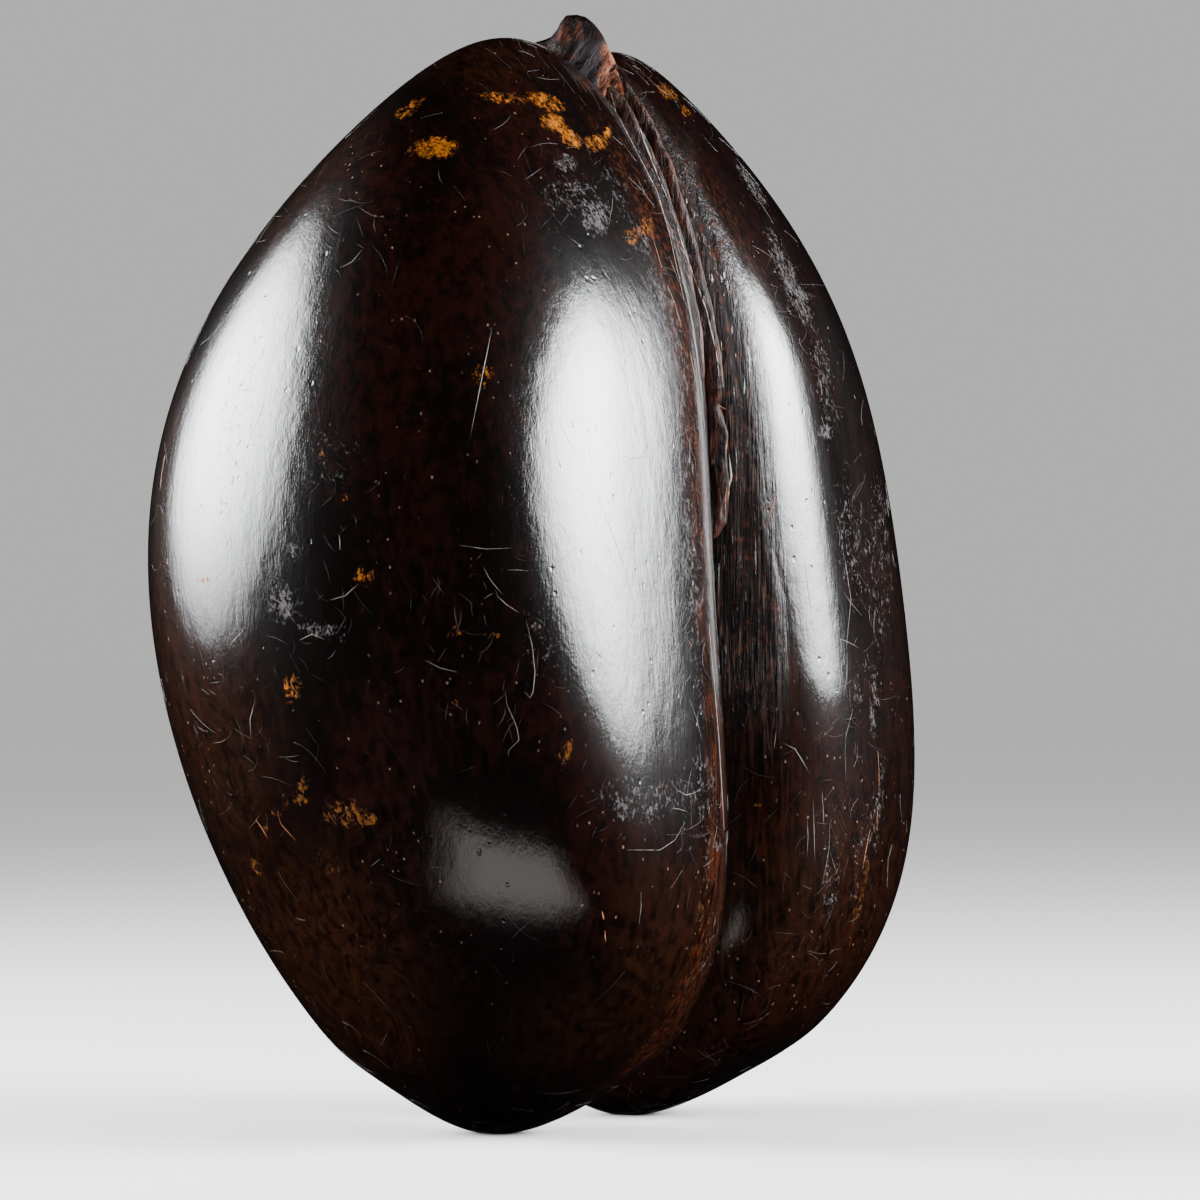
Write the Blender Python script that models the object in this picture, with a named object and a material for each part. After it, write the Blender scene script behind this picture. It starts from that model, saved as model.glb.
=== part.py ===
"""A coco de mer nut standing on the free ends of its two lobes.

The nut is one grown piece, so it is one object. Lengths are in metres.
X runs across the two lobes, Z is up, and the side with the open suture faces -Y.
One lobe is a closed, flattened egg. It is cut at the middle plane and mirrored,
so that the lobes are joined above and stand apart below.
"""

import math

import bmesh
import bpy
import numpy as np

# Lobe: the height of one whole lobe, and how much of its free end is worn flat.
LOBE_HEIGHT = 0.312
FOOT_CUT = 0.0020

# Sizes of one lobe at five even levels, from the free end to the crown.
# The half sizes are before the ends are rounded off.
HALF_WIDTH = (0.0756, 0.0660, 0.0713, 0.0791, 0.0957)
HALF_DEPTH = (0.0781, 0.0810, 0.0745, 0.0703, 0.0288)
CENTRE_X = (0.0406, 0.0609, 0.0678, 0.0559, 0.0329)
CENTRE_Y = (-0.0052, -0.0069, 0.0034, 0.0034, -0.0053)

# How much narrower the free end is than a round one, and up to which level.
FOOT_TAPER = 0.16
FOOT_TAPER_LEVEL = 0.085

# How square the sections are on the outer and on the inner side, and how far the
# square corners are turned.
OUTER_SQUARENESS = 2.13
INNER_SQUARENESS = 3.2
CORNER_TURN = math.radians(5.0)


# Grid of one lobe. The columns lie close together beside the suture.
ROWS = 44
WIDE_COLUMNS = 38
CLOSE_COLUMNS = 16
CLOSE_FROM = math.radians(-63.0)
CLOSE_TO = math.radians(-35.0)

# Long folds in the skin beside the suture, and soft unevenness of the whole shell.
FOLD_HEIGHT = 0.0007
FOLD_SPACING = 0.0065
FOLD_REACH = 0.018
FOLD_LEVELS = (0.46, 0.56, 0.86, 0.95)
BULGE_HEIGHT = 0.0012
BULGE_FADE = 0.030

# Low ridge down the front of the farther lobe: where it is along X and along Z.
RIDGE_HEIGHT = 0.0035
RIDGE_X = 0.026
RIDGE_SPREAD = 0.024
RIDGE_LEVELS = (0.080, 0.130, 0.215, 0.275)

# Shift that brings the middle of the whole nut over the origin.
CENTRING = (0.0000, -0.0002)

# Lips of the suture. Each station is a level on the lobe, the distance from the
# middle plane, and how far the lip stands out of the lobe's flank there.
LIP_HALF_THICKNESS = 0.0009
LIP_ROOT_HALF_THICKNESS = 0.0024
LIP_ROOT_DEPTH = 0.0050
LIP_STEPS = 26
FAR_LIP = (
    (0.950, 0.0030, 0.0060),
    (0.920, 0.0030, 0.0055),
    (0.860, 0.0030, 0.0028),
    (0.790, 0.0032, 0.0024),
    (0.715, 0.0036, 0.0048),
    (0.680, 0.0040, 0.0045),
    (0.665, 0.0048, 0.0018),
    (0.640, 0.0058, 0.0034),
    (0.590, 0.0072, 0.0020),
    (0.560, 0.0079, 0.0006),
    (0.535, 0.0084, -0.0040),
)
NEAR_LIP = (
    (0.950, 0.0034, 0.0045),
    (0.920, 0.0034, 0.0040),
    (0.860, 0.0036, 0.0022),
    (0.790, 0.0038, 0.0016),
    (0.715, 0.0042, 0.0024),
    (0.640, 0.0050, 0.0018),
    (0.600, 0.0060, 0.0012),
    (0.575, 0.0066, 0.0004),
    (0.550, 0.0072, -0.0040),
)

# Knob between the crowns. Each station is a place along Y, the height of the
# crest, and the half width of the root.
KNOB_ROOT_Z = 0.2846
KNOB_CREST_HALF_WIDTH = 0.0014
KNOB_SHOULDER = 0.45
KNOB = (
    (0.0112, 0.2956, 0.0050),
    (0.0072, 0.2996, 0.0090),
    (0.0042, 0.3051, 0.0120),
    (0.0012, 0.3108, 0.0140),
    (-0.0023, 0.3160, 0.0150),
    (-0.0058, 0.3184, 0.0150),
    (-0.0093, 0.3182, 0.0140),
    (-0.0128, 0.3164, 0.0125),
    (-0.0163, 0.3118, 0.0105),
    (-0.0198, 0.3064, 0.0085),
    (-0.0228, 0.2996, 0.0060),
    (-0.0258, 0.2896, 0.0035),
)

WELD = 0.00002
CLEAR_OF_MIDDLE = 0.00006
SOLVER_STEPS = 40


def through(levels, t):
    """A smooth curve through values at five even levels, t from 0 to 1."""
    last = len(levels) - 1
    total = 0.0
    for i, value in enumerate(levels):
        weight = 1.0
        for j in range(len(levels)):
            if j != i:
                weight = weight * (t * last - j) / (i - j)
        total = total + value * weight
    return total


def smooth_step(edge_0, edge_1, value):
    """0 below edge_0, 1 above edge_1 and smooth between."""
    s = min(max((value - edge_0) / (edge_1 - edge_0), 0.0), 1.0)
    return s * s * (3.0 - 2.0 * s)


def section(t):
    """Half width, half depth and centre of one lobe's section at level t."""
    taper = FOOT_TAPER * (1.0 - smooth_step(0.0, FOOT_TAPER_LEVEL, t))
    rounding = 2.0 * math.sqrt(max(t * (1.0 - t), 0.0)) * (1.0 - taper)
    half_width = rounding * through(HALF_WIDTH, t)
    half_depth = rounding * through(HALF_DEPTH, t)
    return half_width, half_depth, through(CENTRE_X, t), through(CENTRE_Y, t)


def height_at(t):
    """Height over the surface the nut stands on."""
    return t * LOBE_HEIGHT - FOOT_CUT


def lobe_point(t, u):
    """Point of the lobe at -X. u is 0 on the inner side and -90 degrees at the front."""
    half_width, half_depth, centre_x, centre_y = section(t)
    c = math.cos(u + CORNER_TURN)
    s = math.sin(u + CORNER_TURN)
    inner = (1.0 + c) / 2.0
    inner = inner * inner * (3.0 - 2.0 * inner)
    square = OUTER_SQUARENESS + (INNER_SQUARENESS - OUTER_SQUARENESS) * inner
    reach = (abs(c) / half_width) ** square + (abs(s) / half_depth) ** square
    radius = reach ** (-1.0 / square)
    return -centre_x + radius * math.cos(u), centre_y + radius * math.sin(u), height_at(t)


def fold(t, x):
    """Height of the long folds at a distance x from the middle plane."""
    start, full, fading, end = FOLD_LEVELS
    along = smooth_step(start, full, t) * (1.0 - smooth_step(fading, end, t))
    across = 1.0 - smooth_step(0.4 * FOLD_REACH, FOLD_REACH, abs(x))
    wander = 0.9 * math.sin(9.0 * t)
    wave = math.sin(2.0 * math.pi * abs(x) / FOLD_SPACING + wander)
    return FOLD_HEIGHT * along * across * wave


def folded_point(t, u):
    """Point of the lobe with the folds beside the suture added."""
    x, y, z = lobe_point(t, u)
    if u < 0.0:
        y = y - fold(t, x)
    return x, y, z


def ridge(x, y, z):
    """Height of the low ridge on the farther lobe."""
    start, full, fading, end = RIDGE_LEVELS
    along = smooth_step(start, full, z) * (1.0 - smooth_step(fading, end, z))
    front = smooth_step(0.0, 0.03, -y) * smooth_step(0.004, 0.020, x)
    return RIDGE_HEIGHT * along * front * math.exp(-(((x - RIDGE_X) / RIDGE_SPREAD) ** 2))


def bulge(x, y, z):
    """Soft unevenness that makes the two lobes differ a little."""
    fade = smooth_step(0.0, BULGE_FADE, z)
    dx = math.sin(24.0 * z + 11.0 * x + 0.7) * math.cos(17.0 * y + 0.4)
    dy = math.sin(26.0 * z + 21.0 * x + 0.6)
    dz = math.sin(31.0 * x + 1.3) * smooth_step(0.15, 0.30, z)
    return (
        x + 0.8 * BULGE_HEIGHT * fade * dx + CENTRING[0],
        y + 0.4 * BULGE_HEIGHT * fade * dy - ridge(x, y, z) + CENTRING[1],
        z + 0.6 * BULGE_HEIGHT * fade * dz,
    )


def column_angles():
    """Angles of the grid's columns, close together beside the suture."""
    close = np.linspace(CLOSE_FROM, CLOSE_TO, CLOSE_COLUMNS, endpoint=False)
    wide = np.linspace(CLOSE_TO, CLOSE_FROM + 2.0 * math.pi, WIDE_COLUMNS, endpoint=False)
    angles = np.concatenate([close, wide])
    return [math.remainder(float(u), 2.0 * math.pi) for u in angles]


def build_lobe():
    """One closed lobe at -X as a grid of rings between two end points."""
    bm = bmesh.new()
    angles = column_angles()
    levels = [(1.0 - math.cos(math.pi * k / ROWS)) / 2.0 for k in range(1, ROWS)]
    rings = []
    for t in levels:
        rings.append([bm.verts.new(folded_point(t, u)) for u in angles])
    low_end = bm.verts.new((-CENTRE_X[0], CENTRE_Y[0], height_at(0.0)))
    high_end = bm.verts.new((-CENTRE_X[-1], CENTRE_Y[-1], height_at(1.0)))
    count = len(angles)
    for k in range(count):
        n = (k + 1) % count
        bm.faces.new((low_end, rings[0][n], rings[0][k]))
        bm.faces.new((high_end, rings[-1][k], rings[-1][n]))
        for lower, upper in zip(rings[:-1], rings[1:]):
            bm.faces.new((lower[k], lower[n], upper[n], upper[k]))
    return bm


def cut_plane(bm, point, normal):
    """Cut away the side of a plane that its normal points to."""
    geometry = bm.verts[:] + bm.edges[:] + bm.faces[:]
    cut = bmesh.ops.bisect_plane(
        bm, geom=geometry, dist=WELD, plane_co=point, plane_no=normal, clear_outer=True
    )
    return [item for item in cut["geom_cut"] if isinstance(item, bmesh.types.BMEdge)]


def both_lobes():
    """The lobe cut at the foot and at the middle plane, and its mirror image."""
    bm = build_lobe()
    foot_edges = cut_plane(bm, (0.0, 0.0, 0.0), (0.0, 0.0, -1.0))
    bmesh.ops.contextual_create(bm, geom=foot_edges)
    middle_edges = cut_plane(bm, (0.0, 0.0, 0.0), (1.0, 0.0, 0.0))
    rim = {vert for edge in middle_edges for vert in edge.verts}
    for vert in bm.verts:
        vert.co.x = 0.0 if vert in rim else min(vert.co.x, -CLEAR_OF_MIDDLE)
    twin = bmesh.ops.duplicate(bm, geom=bm.verts[:] + bm.edges[:] + bm.faces[:])["geom"]
    for item in twin:
        if isinstance(item, bmesh.types.BMVert):
            item.co.x = -item.co.x
    bmesh.ops.reverse_faces(bm, faces=[f for f in twin if isinstance(f, bmesh.types.BMFace)])
    bmesh.ops.remove_doubles(bm, verts=bm.verts[:], dist=WELD)
    return bm


def flank_point(t, x):
    """Point on the front inner flank of the lobe at -X, at a distance x from the middle."""
    low, high = math.radians(-90.0), 0.0
    for _ in range(SOLVER_STEPS):
        middle = (low + high) / 2.0
        if lobe_point(t, middle)[0] < -x:
            low = middle
        else:
            high = middle
    return np.array(lobe_point(t, (low + high) / 2.0))


def front_direction(t, x):
    """Direction straight out of the suture: down its path turned towards the front."""
    step = 0.004
    above = flank_point(min(t + step, 0.96), x)
    below = flank_point(t - step, x)
    along = above - below
    outward = np.array((0.0, -along[2], along[1]))
    if outward[1] > 0.0:
        outward = -outward
    return outward / np.linalg.norm(outward)


def between(stations, count):
    """The stations of a lip, filled in evenly by level."""
    table = np.array(sorted(stations))
    levels = np.linspace(table[0, 0], table[-1, 0], count)
    offsets = np.interp(levels, table[:, 0], table[:, 1])
    heights = np.interp(levels, table[:, 0], table[:, 2])
    return list(zip(levels, offsets, heights))


def loft(bm, sections):
    """A closed solid through a row of rings with the same number of corners."""
    rings = [[bm.verts.new(corner) for corner in ring] for ring in sections]
    count = len(rings[0])
    bm.faces.new(rings[0])
    bm.faces.new(list(reversed(rings[-1])))
    for first, second in zip(rings[:-1], rings[1:]):
        for k in range(count):
            n = (k + 1) % count
            bm.faces.new((first[n], first[k], second[k], second[n]))
    bmesh.ops.recalc_face_normals(bm, faces=bm.faces[:])


def build_lip(stations, side):
    """A thin lip along the suture, rooted well inside the lobe's flank."""
    bm = bmesh.new()
    rings = []
    for t, x, height in between(stations, LIP_STEPS):
        base = flank_point(t, x)
        base[0] = side * x
        outward = front_direction(t, x)
        across = np.array((1.0, 0.0, 0.0))
        crest = base + outward * height
        root = base - outward * LIP_ROOT_DEPTH
        rings.append([
            tuple(root - across * LIP_ROOT_HALF_THICKNESS),
            tuple(crest - across * LIP_HALF_THICKNESS),
            tuple(crest + outward * 0.5 * LIP_HALF_THICKNESS),
            tuple(crest + across * LIP_HALF_THICKNESS),
            tuple(root + across * LIP_ROOT_HALF_THICKNESS),
        ])
    loft(bm, rings)
    return bm


def build_knob():
    """The pointed knob between the crowns, as tent-shaped sections along Y."""
    bm = bmesh.new()
    rings = []
    for y, crest_z, root in KNOB:
        shoulder_z = crest_z + (KNOB_ROOT_Z - crest_z) * KNOB_SHOULDER
        crest = min(KNOB_CREST_HALF_WIDTH, 0.5 * root)
        shoulder = crest + (root - crest) * KNOB_SHOULDER * 0.9
        rings.append([
            (-root, y, KNOB_ROOT_Z),
            (-shoulder, y, shoulder_z),
            (-crest, y, crest_z - 0.5 * crest),
            (0.0, y, crest_z),
            (crest, y, crest_z - 0.5 * crest),
            (shoulder, y, shoulder_z),
            (root, y, KNOB_ROOT_Z),
        ])
    loft(bm, rings)
    return bm


def as_object(name, bm):
    """Turn a bmesh into an object in the scene."""
    mesh = bpy.data.meshes.new(name)
    bm.to_mesh(mesh)
    bm.free()
    thing = bpy.data.objects.new(name, mesh)
    bpy.context.scene.collection.objects.link(thing)
    return thing


def fuse(body, pieces):
    """Fuse pieces into the body and take the pieces away."""
    for piece in pieces:
        joint = body.modifiers.new("fuse_" + piece.name, "BOOLEAN")
        joint.operation = "UNION"
        joint.solver = "EXACT"
        joint.object = piece
    graph = bpy.context.evaluated_depsgraph_get()
    fused = bpy.data.meshes.new_from_object(body.evaluated_get(graph))
    body.modifiers.clear()
    body.data = fused
    for piece in pieces:
        bpy.data.objects.remove(piece, do_unlink=True)


def finish_mesh(body):
    """Add the soft unevenness, clean the mesh and shade it."""
    bm = bmesh.new()
    bm.from_mesh(body.data)
    for vert in bm.verts:
        vert.co = bulge(*vert.co)
    bmesh.ops.remove_doubles(bm, verts=bm.verts[:], dist=WELD)
    bmesh.ops.dissolve_degenerate(bm, edges=bm.edges[:], dist=WELD)
    bmesh.ops.recalc_face_normals(bm, faces=bm.faces[:])
    bm.to_mesh(body.data)
    bm.free()
    body.data.set_sharp_from_angle(angle=math.radians(35.0))


def shell_material():
    """Polished, almost black brown shell."""
    material = bpy.data.materials.new("polished_shell")
    material.use_nodes = True
    shader = material.node_tree.nodes["Principled BSDF"]
    shader.inputs["Base Color"].default_value = (0.022, 0.010, 0.007, 1.0)
    shader.inputs["Roughness"].default_value = 0.24
    shader.inputs["Metallic"].default_value = 0.0
    return material


def main():
    for thing in list(bpy.data.objects):
        bpy.data.objects.remove(thing, do_unlink=True)
    nut = as_object("nut", both_lobes())
    far_lip = as_object("far_lip", build_lip(FAR_LIP, 1.0))
    near_lip = as_object("near_lip", build_lip(NEAR_LIP, -1.0))
    knob = as_object("knob", build_knob())
    fuse(nut, [knob, far_lip, near_lip])
    finish_mesh(nut)
    nut.data.materials.clear()
    nut.data.materials.append(shell_material())


main()
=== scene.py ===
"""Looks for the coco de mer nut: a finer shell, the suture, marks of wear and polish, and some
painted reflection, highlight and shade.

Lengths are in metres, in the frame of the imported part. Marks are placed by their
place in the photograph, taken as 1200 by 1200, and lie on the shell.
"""

import math

import bmesh
import bpy
import numpy as np
from mathutils import Matrix, Vector, noise
from mathutils.bvhtree import BVHTree

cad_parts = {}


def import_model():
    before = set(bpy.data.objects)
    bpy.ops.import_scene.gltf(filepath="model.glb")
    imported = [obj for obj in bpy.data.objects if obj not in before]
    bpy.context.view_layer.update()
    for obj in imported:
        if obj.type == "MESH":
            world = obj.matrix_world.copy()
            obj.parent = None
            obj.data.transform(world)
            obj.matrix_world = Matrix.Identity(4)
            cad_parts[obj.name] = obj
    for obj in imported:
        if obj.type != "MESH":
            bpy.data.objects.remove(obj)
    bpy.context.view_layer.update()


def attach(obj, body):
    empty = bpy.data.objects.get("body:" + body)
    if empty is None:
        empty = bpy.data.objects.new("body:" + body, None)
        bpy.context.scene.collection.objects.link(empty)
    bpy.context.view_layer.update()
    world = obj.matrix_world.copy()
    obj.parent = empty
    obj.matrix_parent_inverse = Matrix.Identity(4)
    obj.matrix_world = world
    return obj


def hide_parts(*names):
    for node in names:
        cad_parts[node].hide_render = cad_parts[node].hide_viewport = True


# Lobe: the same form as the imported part.
LOBE_HEIGHT = 0.312
FOOT_CUT = 0.002
HALF_WIDTH = (0.0756, 0.066, 0.0713, 0.0791, 0.0957)
HALF_DEPTH = (0.0781, 0.081, 0.0745, 0.0703, 0.0288)
CENTRE_X = (0.0406, 0.0609, 0.0678, 0.0559, 0.0329)
CENTRE_Y = (-0.0052, -0.0069, 0.0034, 0.0034, -0.0053)
FOOT_TAPER = 0.16
FOOT_TAPER_LEVEL = 0.085
OUTER_SQUARENESS = 2.13
INNER_SQUARENESS = 3.2
CORNER_TURN = math.radians(5.0)
FOLD_HEIGHT = 0.0007
FOLD_SPACING = 0.0065
FOLD_REACH = 0.018
FOLD_LEVELS = (0.46, 0.56, 0.86, 0.95)
BULGE_HEIGHT = 0.0012
BULGE_FADE = 0.03
RIDGE_HEIGHT = 0.0035
RIDGE_X = 0.026
RIDGE_SPREAD = 0.024
RIDGE_LEVELS = (0.08, 0.13, 0.215, 0.275)
CENTRING = (0.0, -0.0002)

# Free ends: how much of the foot's cut is left in sight, and where the rounding ends.
FOOT_CONTACT = 0.0004
FOOT_ROUNDING_FADE = (0.01, 0.03)

# Fine grid of one lobe, and its flat map.
ROWS = 230
WIDE_COLUMNS = 130
CLOSE_COLUMNS = 64
CLOSE_FROM = math.radians(-65.0)
CLOSE_TO = math.radians(-33.0)
WELD = 0.00001
CLEAR_OF_MIDDLE = 0.00003
FLAT_SIZE = (0.48, 0.98)
FLAT_MARGIN = (0.01, 0.01)

# Lips of the suture, as in the part: level, distance from the middle plane and height.
LIP_HALF_THICKNESS = 0.0006
LIP_ROOT_HALF_THICKNESS = 0.0024
LIP_ROOT_DEPTH = 0.005
LIP_SLOPE = 1.8
LIP_HEIGHT_SWING = 0.25
LIP_HEIGHT_WAVE = 0.009
LIP_STEPS = 220
LIP_CORNERS = 15
FAR_LIP = (
    (0.95, 0.003, 0.006), (0.92, 0.003, 0.0055), (0.86, 0.003, 0.0028),
    (0.79, 0.0032, 0.0024), (0.715, 0.0036, 0.0048), (0.68, 0.004, 0.0045),
    (0.665, 0.0048, 0.0018), (0.64, 0.0058, 0.0034), (0.59, 0.0072, 0.002),
    (0.56, 0.0079, 0.0006), (0.535, 0.0084, -0.004),
)
NEAR_LIP = (
    (0.95, 0.0034, 0.0045), (0.92, 0.0034, 0.004), (0.86, 0.0036, 0.0022),
    (0.79, 0.0038, 0.0016), (0.715, 0.0042, 0.0024), (0.64, 0.005, 0.0018),
    (0.6, 0.006, 0.0012), (0.575, 0.0066, 0.0004), (0.55, 0.0072, -0.004),
)

# Lips: name, table, side of the middle plane and seed.
LIPS = (("far_lip", FAR_LIP, 1.0, 11), ("near_lip", NEAR_LIP, -1.0, 21))

# Knob, a little fuller than the part's: place along Y, crest and half width of the root.
KNOB_ROOT_Z = 0.2846
KNOB_CREST_HALF_WIDTH = 0.0014
KNOB_CREST_SHARE = 0.25
KNOB_CREASE_DEPTH = 0.0009
KNOB_CREASE_SPACING = 0.0052
KNOB_CREASE_LEAN = 0.6
KNOB_FLARE = 1.5
KNOB_STEPS = 90
KNOB_CORNERS = 41
KNOB_SEED = 5
KNOB = (
    (0.0112, 0.305, 0.005), (0.0072, 0.3094, 0.009), (0.0042, 0.311, 0.012),
    (0.0012, 0.3117, 0.014), (-0.001, 0.3124, 0.0145), (-0.0026, 0.3142, 0.015),
    (-0.0042, 0.3166, 0.015), (-0.0058, 0.3183, 0.015), (-0.0093, 0.3184, 0.014),
    (-0.0122, 0.3176, 0.013), (-0.015, 0.3156, 0.0115), (-0.018, 0.3118, 0.0098),
    (-0.0208, 0.3062, 0.008), (-0.0235, 0.299, 0.0058), (-0.026, 0.2896, 0.0035),
)

# Sideways waves of the lips and the knob: height and size.
LIP_WAVES = ((0.0007, 0.012), (0.0003, 0.003))
KNOB_WAVES = ((0.0009, 0.006), (0.0004, 0.0022))

# Camera: where the photograph was taken from, and the size of a pixel.
PHOTO_SIZE = 1200.0
CAMERA_AZIMUTH = math.radians(-62.0)
CAMERA_DISTANCE = 2.0
CAMERA_HEIGHT = 0.1506
CAMERA_SIDE = 0.0152
CAMERA_REACH = 50.0
FOCAL_PIXELS = 6935.9
SENSOR_MM = 36.0

# Room: what the eye sees behind the nut, what lights it and what the polish reflects.
FLOOR_HALF_SIZE = 12.0
FLOOR_COLOUR = (0.66, 0.65, 0.64)
FLOOR_ROUGHNESS = 0.8
FLOOR_GLOSS = 0.1
ROOM_SEEN = (0.56, 0.556, 0.552)
ROOM_LIGHT = (0.9, 0.9, 0.9)
ROOM_REFLECTED = (0.004, 0.004, 0.0045)

# Round softboxes: turn, edges across, edges up and power.
SOFTBOXES = {
    "left_softbox": (-165.0, (-0.56, 1.13), (-0.13, 1.43), 320.0),
    "right_softbox": (25.0, (-0.94, 0.82), (0.15, 1.04), 245.0),
}
SOFTBOX_DISTANCE = 1.2
SOFTBOX_COLOUR = (0.94, 0.97, 1.0)
SOFTBOX_FADE = (0.2, 1.15)

# Low card in front of the nut, a little over the floor.
CARD_PLACE = (-0.185, -0.085, 0.002)
CARD_SIZE = (0.09, 0.17)
CARD_TURN = math.radians(20.0)
CARD_POWER = 0.09
CARD_COLOUR = (1.0, 0.95, 0.9)
CARD_FADE = (0.4, 1.0)

# Shell colours, from the darkest ground to the marks of wear.
GROUND = (0.0011, 0.00035, 0.00025)
RED_BROWN = (0.0062, 0.0011, 0.0006)
# Brown of a painted reflection of warm surroundings, along the limbs and low down.
REFLECTION_BROWN = (0.01, 0.0029, 0.0009)
RUST = (0.042, 0.0095, 0.0024)
OCHRE = (0.21, 0.062, 0.0035)
OCHRE_DARK = (0.04, 0.012, 0.0018)
# Darker ochre as painted shade low on the nut, where less light falls, and the heights where it
# gives way to the full ochre.
OCHRE_PAINTED_SHADE = (0.075, 0.027, 0.0035)
OCHRE_PAINTED_SHADE_Z = (0.105, 0.135)
SCUFF_GREY = (0.062, 0.056, 0.056)
SPECK_TAN = (0.115, 0.078, 0.05)
FLANK_BLACK = (0.003, 0.0018, 0.002)
STRAND_GREY = (0.04, 0.026, 0.021)

SUTURE_DARK = (0.005, 0.002, 0.0017)
SUTURE_RUST = (0.06, 0.0125, 0.0036)
# Pale pink of fibre streaks, which on the lips also paint highlights on the folds.
SUTURE_PALE = (0.19, 0.1, 0.078)
KNOB_DARK = (0.003, 0.0012, 0.0009)
KNOB_GREY = (0.034, 0.031, 0.036)
KNOB_SALMON = (0.2, 0.078, 0.045)
# Pale of the lines of painted highlight and reflection on rims and lip crests, partly pale fibre.
EDGE_HIGHLIGHT_PALE = (0.24, 0.19, 0.172)
SCRATCH_AND_STREAK_GREY = (0.11, 0.095, 0.082)
HAIR_GREY = (0.04, 0.031, 0.025)
SPLINTER_TAN = (0.26, 0.085, 0.02)

# Noise of the shell: share of the scale up the nut, scale, detail and roughness.
BROAD = (0.6, 16.0, 5.0, 0.6)
FINE = (0.6, 330.0, 6.0, 0.75)
FIBRES = (0.08, 900.0, 4.0, 0.6)
PATCH = (0.8, 420.0, 6.0, 0.8)
BLOTCH = (0.5, 70.0, 4.0, 0.6)
FLAKE = (0.6, 1100.0, 5.0, 0.8)
HAZE = (0.3, 60.0, 4.0, 0.6)
POLISH_STREAKS = (0.06, 1000.0, 4.0, 0.6)

# Relief: noise of the skin and of the bare flanks, each with its height.
SKIN_RELIEF = (
    ((0.45, 190.0, 3.0, 0.5), 0.00014),
    ((0.3, 800.0, 3.0, 0.6), 0.00004),
    ((0.6, 1700.0, 3.0, 0.6), 0.000024),
    ((0.035, 2600.0, 3.0, 0.6), 0.000026),
)
FLANK_RELIEF = (
    ((0.1, 420.0, 4.0, 0.6), 0.0012),
    ((0.03, 1600.0, 4.0, 0.6), 0.0005),
)

# Specks and pits: cells to the metre, size in a cell and share of the cells.
SMALL_SPECKS = (800.0, 0.26, 0.05)
LARGE_SPECKS = (300.0, 0.1, 0.012)
PITS = (330.0, 0.2, 0.2)
PIT_DEPTH = 0.00008

# Marks of wear: how full the band of wear is, and how noise breaks marks up.
WEAR_FULLNESS = 0.64
RAGGED_FROM = 0.62
RAGGED_FADE = (0.02, 0.25)
OCHRE_DULL = 1.2

# Roughness of the ground, and what haze, marks and bare flanks add to it.
SHELL_ROUGHNESS = 0.2
HAZE_ROUGHNESS = 0.14
MARKS_ROUGHNESS = 0.3
FLANK_ROUGHNESS = 0.28
FLANK_DULL = 0.2

# Polish: a clear coat over the ground, which marks and bare flanks take away.
COAT = 0.98
COAT_ROUGHNESS = 0.06
COAT_IOR = 1.57
FLANK_BARE = 0.98
MARKS_BARE = 0.8
SHELL_GLOSS = 0.11
MATT_LOSS = 0.085

# Noise and relief of the suture and the knob.
SUTURE_BLOTCH = (0.35, 170.0, 5.0, 0.7)
SUTURE_STREAK_PULL = (1.0, 0.6, 0.1)
SUTURE_STREAKS = (900.0, 5.0, 0.7)
SUTURE_RELIEF = 0.0011
SUTURE_GLOSS = 0.22
KNOB_BLOTCH = (0.6, 260.0, 5.0, 0.7)
KNOB_STREAK_TURN = math.radians(-35.0)
KNOB_STREAK_PULL = (0.7, 1.0, 0.1)
KNOB_STREAK_SCALE = 650.0
KNOB_FINE_SCALE = 2200.0
KNOB_RELIEF = 0.0016
KNOB_FINE_RELIEF = 0.00025
KNOB_GLOSS = 0.04

# Zones of the knob along Y, where each starts, is full, fades and ends, and its low part.
KNOB_GREY_Y = (-0.009, -0.012, -0.0175, -0.0205)
KNOB_SALMON_Y = (-0.0178, -0.019, -0.0208, -0.0222)
KNOB_RUSTY_Y = (-0.0205, -0.0235)
KNOB_LOW_Z = (0.314, 0.307)
KNOB_ZONE_SWING = 0.012

# Threads, half sunk in the surface: seed, narrowest, widest and colour.
THREAD_HEIGHT = 0.00006
THREAD_SINK = 0.00001
THREAD_END = 0.15
THREAD_DARK = 0.35
THREAD_FLECKS = (1.0, 900.0, 3.0, 0.6)
THREADS = (
    # Scratches, with a few streaks of painted highlight.
    ("scratches_and_highlight_streaks", 31, 0.00014, 0.00026, SCRATCH_AND_STREAK_GREY),
    ("hair_scratches", 33, 0.00004, 0.00011, HAIR_GREY),
    ("splinters", 34, 0.00014, 0.00036, SPLINTER_TAN),
    # Pale edges paint highlights and reflection along rims and lip crests.
    ("painted_edge_highlights", 36, 0.00045, 0.0007, EDGE_HIGHLIGHT_PALE),
)

# Threads at random places all over the shell, with steps in metres.
SCATTERED_SEED = 32
SCATTERED_COUNT = 700
SCATTERED_CORNERS = 7
SCATTERED_STEP = (0.0005, 0.0022)
SCATTERED_BEND = 0.12
SCATTERED_UPRIGHT = 1.5

# Threads at random places of the scratch zones, with steps in pixels.
ZONE_SEED = 35
ZONE_CORNERS = 4
ZONE_STEP = (2.0, 9.0)
ZONE_BEND = 0.25
ZONE_HEADING_SPREAD = 0.7
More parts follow.
